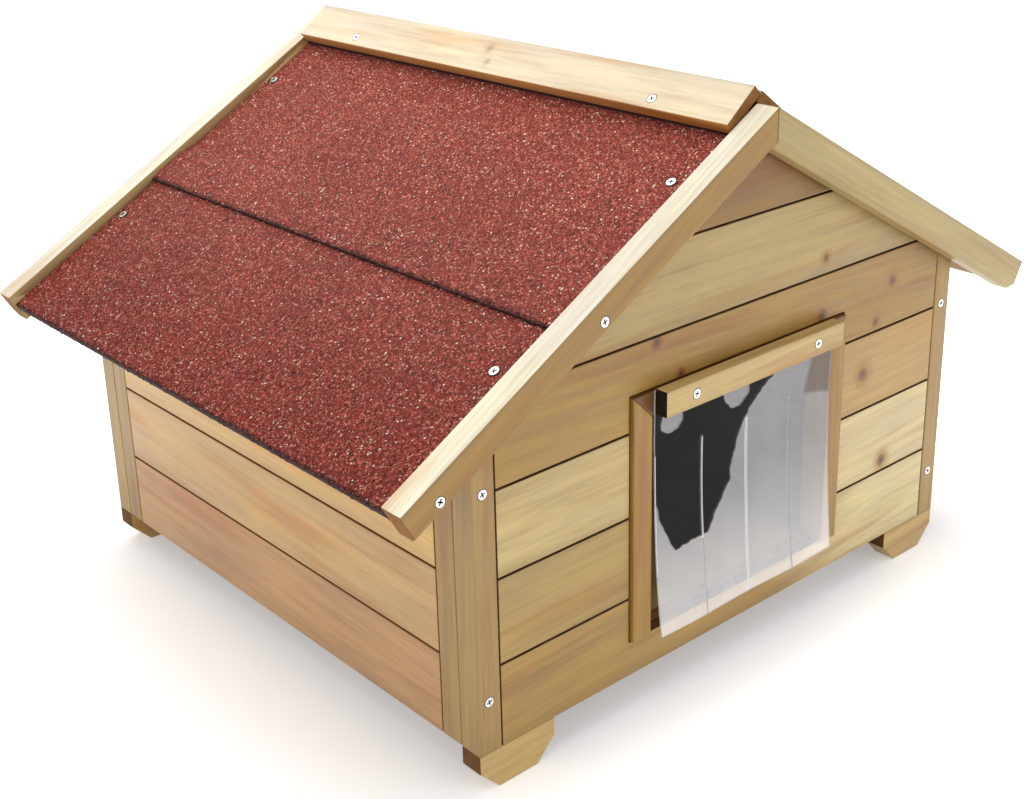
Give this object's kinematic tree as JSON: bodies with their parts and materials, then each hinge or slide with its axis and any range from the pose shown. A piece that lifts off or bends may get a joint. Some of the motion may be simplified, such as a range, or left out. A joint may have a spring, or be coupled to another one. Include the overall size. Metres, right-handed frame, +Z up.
{
  "type": "cat shelter",
  "caption": "Small raised wooden cat house with a pitched felt roof, barge boards, a ridge cap and a doorway closed by clear hanging strips.",
  "frame": {"origin": "on the ground under the middle of the body", "axes": "+Z up; the doorway faces -Y; +X runs across the gables, to the right as seen from the front"},
  "size_m": [0.6136, 0.51, 0.4151],
  "materials": {
    "glazed_softwood": "satin clear glaze over planed softwood boards",
    "end_grain_wood": "satin glaze, sawn bevels",
    "panel_wood": "plain sanded panel",
    "mineral_felt": "bitumen felt dressed with brick-red mineral granules",
    "clear_pvc": "clear, glossy",
    "zinc_steel": "bright zinc plate"
  },
  "bodies": {
    "shelter": {"barge_front_left": "glazed_softwood", "barge_front_right": "glazed_softwood", "barge_rear_left": "glazed_softwood", "barge_rear_right": "glazed_softwood", "door_head": "glazed_softwood", "door_jamb_left": "glazed_softwood", "door_jamb_right": "glazed_softwood", "feet": "end_grain_wood", "felt_left_lower": "mineral_felt", "felt_left_upper": "mineral_felt", "felt_ridge": "mineral_felt", "felt_right_lower": "mineral_felt", "felt_right_upper": "mineral_felt", "flap_band": "clear_pvc", "flap_batten": "glazed_softwood", "floor_bearers": "glazed_softwood", "floor_panel": "panel_wood", "front_board_1": "glazed_softwood", "front_board_2_left": "glazed_softwood", "front_board_2_right": "glazed_softwood", "front_board_3_left": "glazed_softwood", "front_board_3_right": "glazed_softwood", "front_board_4": "glazed_softwood", "front_board_5": "glazed_softwood", "front_board_6": "glazed_softwood", "front_cleats": "glazed_softwood", "front_stile_left": "glazed_softwood", "front_stile_right": "glazed_softwood", "left_board_1": "glazed_softwood", "left_board_2": "glazed_softwood", "left_board_3": "glazed_softwood", "left_board_4": "glazed_softwood", "left_stile_front": "glazed_softwood", "left_stile_rear": "glazed_softwood", "long_screws": "zinc_steel", "rear_board_1": "glazed_softwood", "rear_board_2": "glazed_softwood", "rear_board_3": "glazed_softwood", "rear_board_4": "glazed_softwood", "rear_board_5": "glazed_softwood", "rear_board_6": "glazed_softwood", "rear_cleats": "glazed_softwood", "rear_stile_left": "glazed_softwood", "rear_stile_right": "glazed_softwood", "ridge_board_left": "glazed_softwood", "ridge_board_right": "glazed_softwood", "right_board_1": "glazed_softwood", "right_board_2": "glazed_softwood", "right_board_3": "glazed_softwood", "right_board_4": "glazed_softwood", "right_stile_front": "glazed_softwood", "right_stile_rear": "glazed_softwood", "roof_deck_left": "panel_wood", "roof_deck_right": "panel_wood", "short_screws": "zinc_steel", "side_cleats": "glazed_softwood"},
    "strip_1": {"flap_strip_1": "clear_pvc"},
    "strip_2": {"flap_strip_2": "clear_pvc"},
    "strip_3": {"flap_strip_3": "clear_pvc"},
    "strip_4": {"flap_strip_4": "clear_pvc"}
  },
  "joints": [
    {"name": "strip_1_swing", "type": "hinge", "parent": "shelter", "child": "strip_1", "pos_m": [-0.06765, -0.2366, 0.1875], "axis": [1, 0, 0], "range_deg": [-80, 80], "stiffness_Nm_per_rad": 0.0013, "springref_deg": -10.89},
    {"name": "strip_2_swing", "type": "hinge", "parent": "shelter", "child": "strip_2", "pos_m": [-0.02255, -0.2366, 0.1875], "axis": [1, 0, 0], "range_deg": [-80, 80], "stiffness_Nm_per_rad": 0.0013, "springref_deg": -10.89},
    {"name": "strip_3_swing", "type": "hinge", "parent": "shelter", "child": "strip_3", "pos_m": [0.02255, -0.2366, 0.1875], "axis": [1, 0, 0], "range_deg": [-80, 80], "stiffness_Nm_per_rad": 0.0013, "springref_deg": -10.89},
    {"name": "strip_4_swing", "type": "hinge", "parent": "shelter", "child": "strip_4", "pos_m": [0.06765, -0.2366, 0.1875], "axis": [1, 0, 0], "range_deg": [-80, 80], "stiffness_Nm_per_rad": 0.0013, "springref_deg": -10.89}
  ]
}
